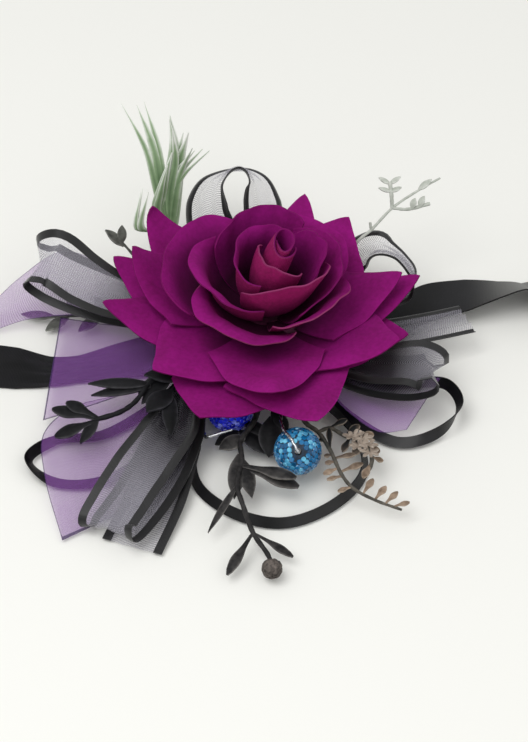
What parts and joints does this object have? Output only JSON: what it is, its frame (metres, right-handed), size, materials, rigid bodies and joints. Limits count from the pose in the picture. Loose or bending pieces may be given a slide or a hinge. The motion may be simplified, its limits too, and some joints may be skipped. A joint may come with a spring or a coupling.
{
  "type": "wrist corsage",
  "caption": "Wrist corsage: magenta velvet rose on organza, sheer and satin ribbon bows with pave beads, black sprigs and satin ties.",
  "frame": {"origin": "centre of the pad's underside, where it lies on the wrist", "axes": "+Z out of the wrist towards the rose, +X along the ties to a viewer's right, -Y towards the viewer"},
  "size_m": [0.2148, 0.1366, 0.0432],
  "materials": {
    "felt": "black felt",
    "satin": "black satin ribbon",
    "plastic": "moulded black disc",
    "glue": "set hot glue",
    "organza": "sheer purple organza",
    "sheer": "sheer black ribbon with satin edges",
    "velvet": "magenta velvet petals",
    "leaf_black": "black artificial leaves",
    "fern": "tan artificial fern",
    "grass": "green and white artificial grass",
    "twig": "grey-green artificial twig",
    "silver": "silver craft wire",
    "turquoise": "turquoise pave crystal",
    "cobalt": "cobalt pave crystal",
    "calyx_green": "green moulded flower parts"
  },
  "bodies": {
    "corsage": {"wrist_pad": "felt", "mounting_disc": "plastic", "tie_seat": "satin", "rose_stem": "calyx_green", "glue_mound": "glue", "narrow_ribbon_bow": "satin", "organza_bow": "organza", "sheer_ribbon_bow": "sheer", "berry_sprig_left": "leaf_black", "berry_sprig_front": "leaf_black", "fern_sprig_right": "fern", "leaf_spray_left": "leaf_black", "leaf_spray_front": "leaf_black", "sprig_back_left": "leaf_black", "twig_back_right": "twig", "grass_tuft": "grass", "bead_wire_turquoise": "silver", "bead_wire_cobalt": "silver", "calyx_cup": "calyx_green", "rose_hip": "calyx_green", "petal_bud": "velvet", "petal_bud_front": "velvet", "petal_bud_right": "velvet", "petal_bud_left": "velvet", "petal_cup_front": "velvet", "petal_inner_back": "velvet", "petal_inner_right": "velvet", "petal_inner_left": "velvet", "petal_inner_front_right": "velvet", "petal_inner_front_left": "velvet", "petal_middle_left": "velvet", "petal_middle_right": "velvet", "petal_outer_front": "velvet", "petal_outer_right": "velvet", "petal_outer_back": "velvet", "petal_outer_left": "velvet", "petal_outer_front_left": "velvet", "petal_outer_front_right": "velvet", "petal_outer_back_right": "velvet", "petal_rim_back": "velvet", "petal_rim_back_far_left": "velvet", "petal_rim_left": "velvet", "petal_rim_right": "velvet", "petal_rim_front": "velvet", "petal_rim_back_left": "velvet", "petal_rim_front_left": "velvet", "petal_rim_front_right": "velvet"},
    "tie_left": {"tie_left": "satin"},
    "tie_right": {"tie_right": "satin"},
    "bead_turquoise": {"bead_turquoise": "turquoise"},
    "bead_cobalt": {"bead_cobalt": "cobalt"}
  },
  "joints": [
    {"name": "tie_left_fold", "type": "hinge", "parent": "corsage", "child": "tie_left", "pos_m": [-0.0256, 0, 0.0021], "axis": [0, -1, 0], "range_deg": [0, 90]},
    {"name": "tie_right_fold", "type": "hinge", "parent": "corsage", "child": "tie_right", "pos_m": [0.0256, 0, 0.0021], "axis": [0, 1, 0], "range_deg": [0, 90]},
    {"name": "bead_turquoise_spin", "type": "hinge", "parent": "corsage", "child": "bead_turquoise", "pos_m": [0.0086, -0.0428, 0.009], "axis": [0, -0.7071, 0.7071], "continuous": true},
    {"name": "bead_cobalt_spin", "type": "hinge", "parent": "corsage", "child": "bead_cobalt", "pos_m": [-0.0088, -0.026, 0.0072], "axis": [0.7517, -0.451, 0.4811], "continuous": true}
  ]
}
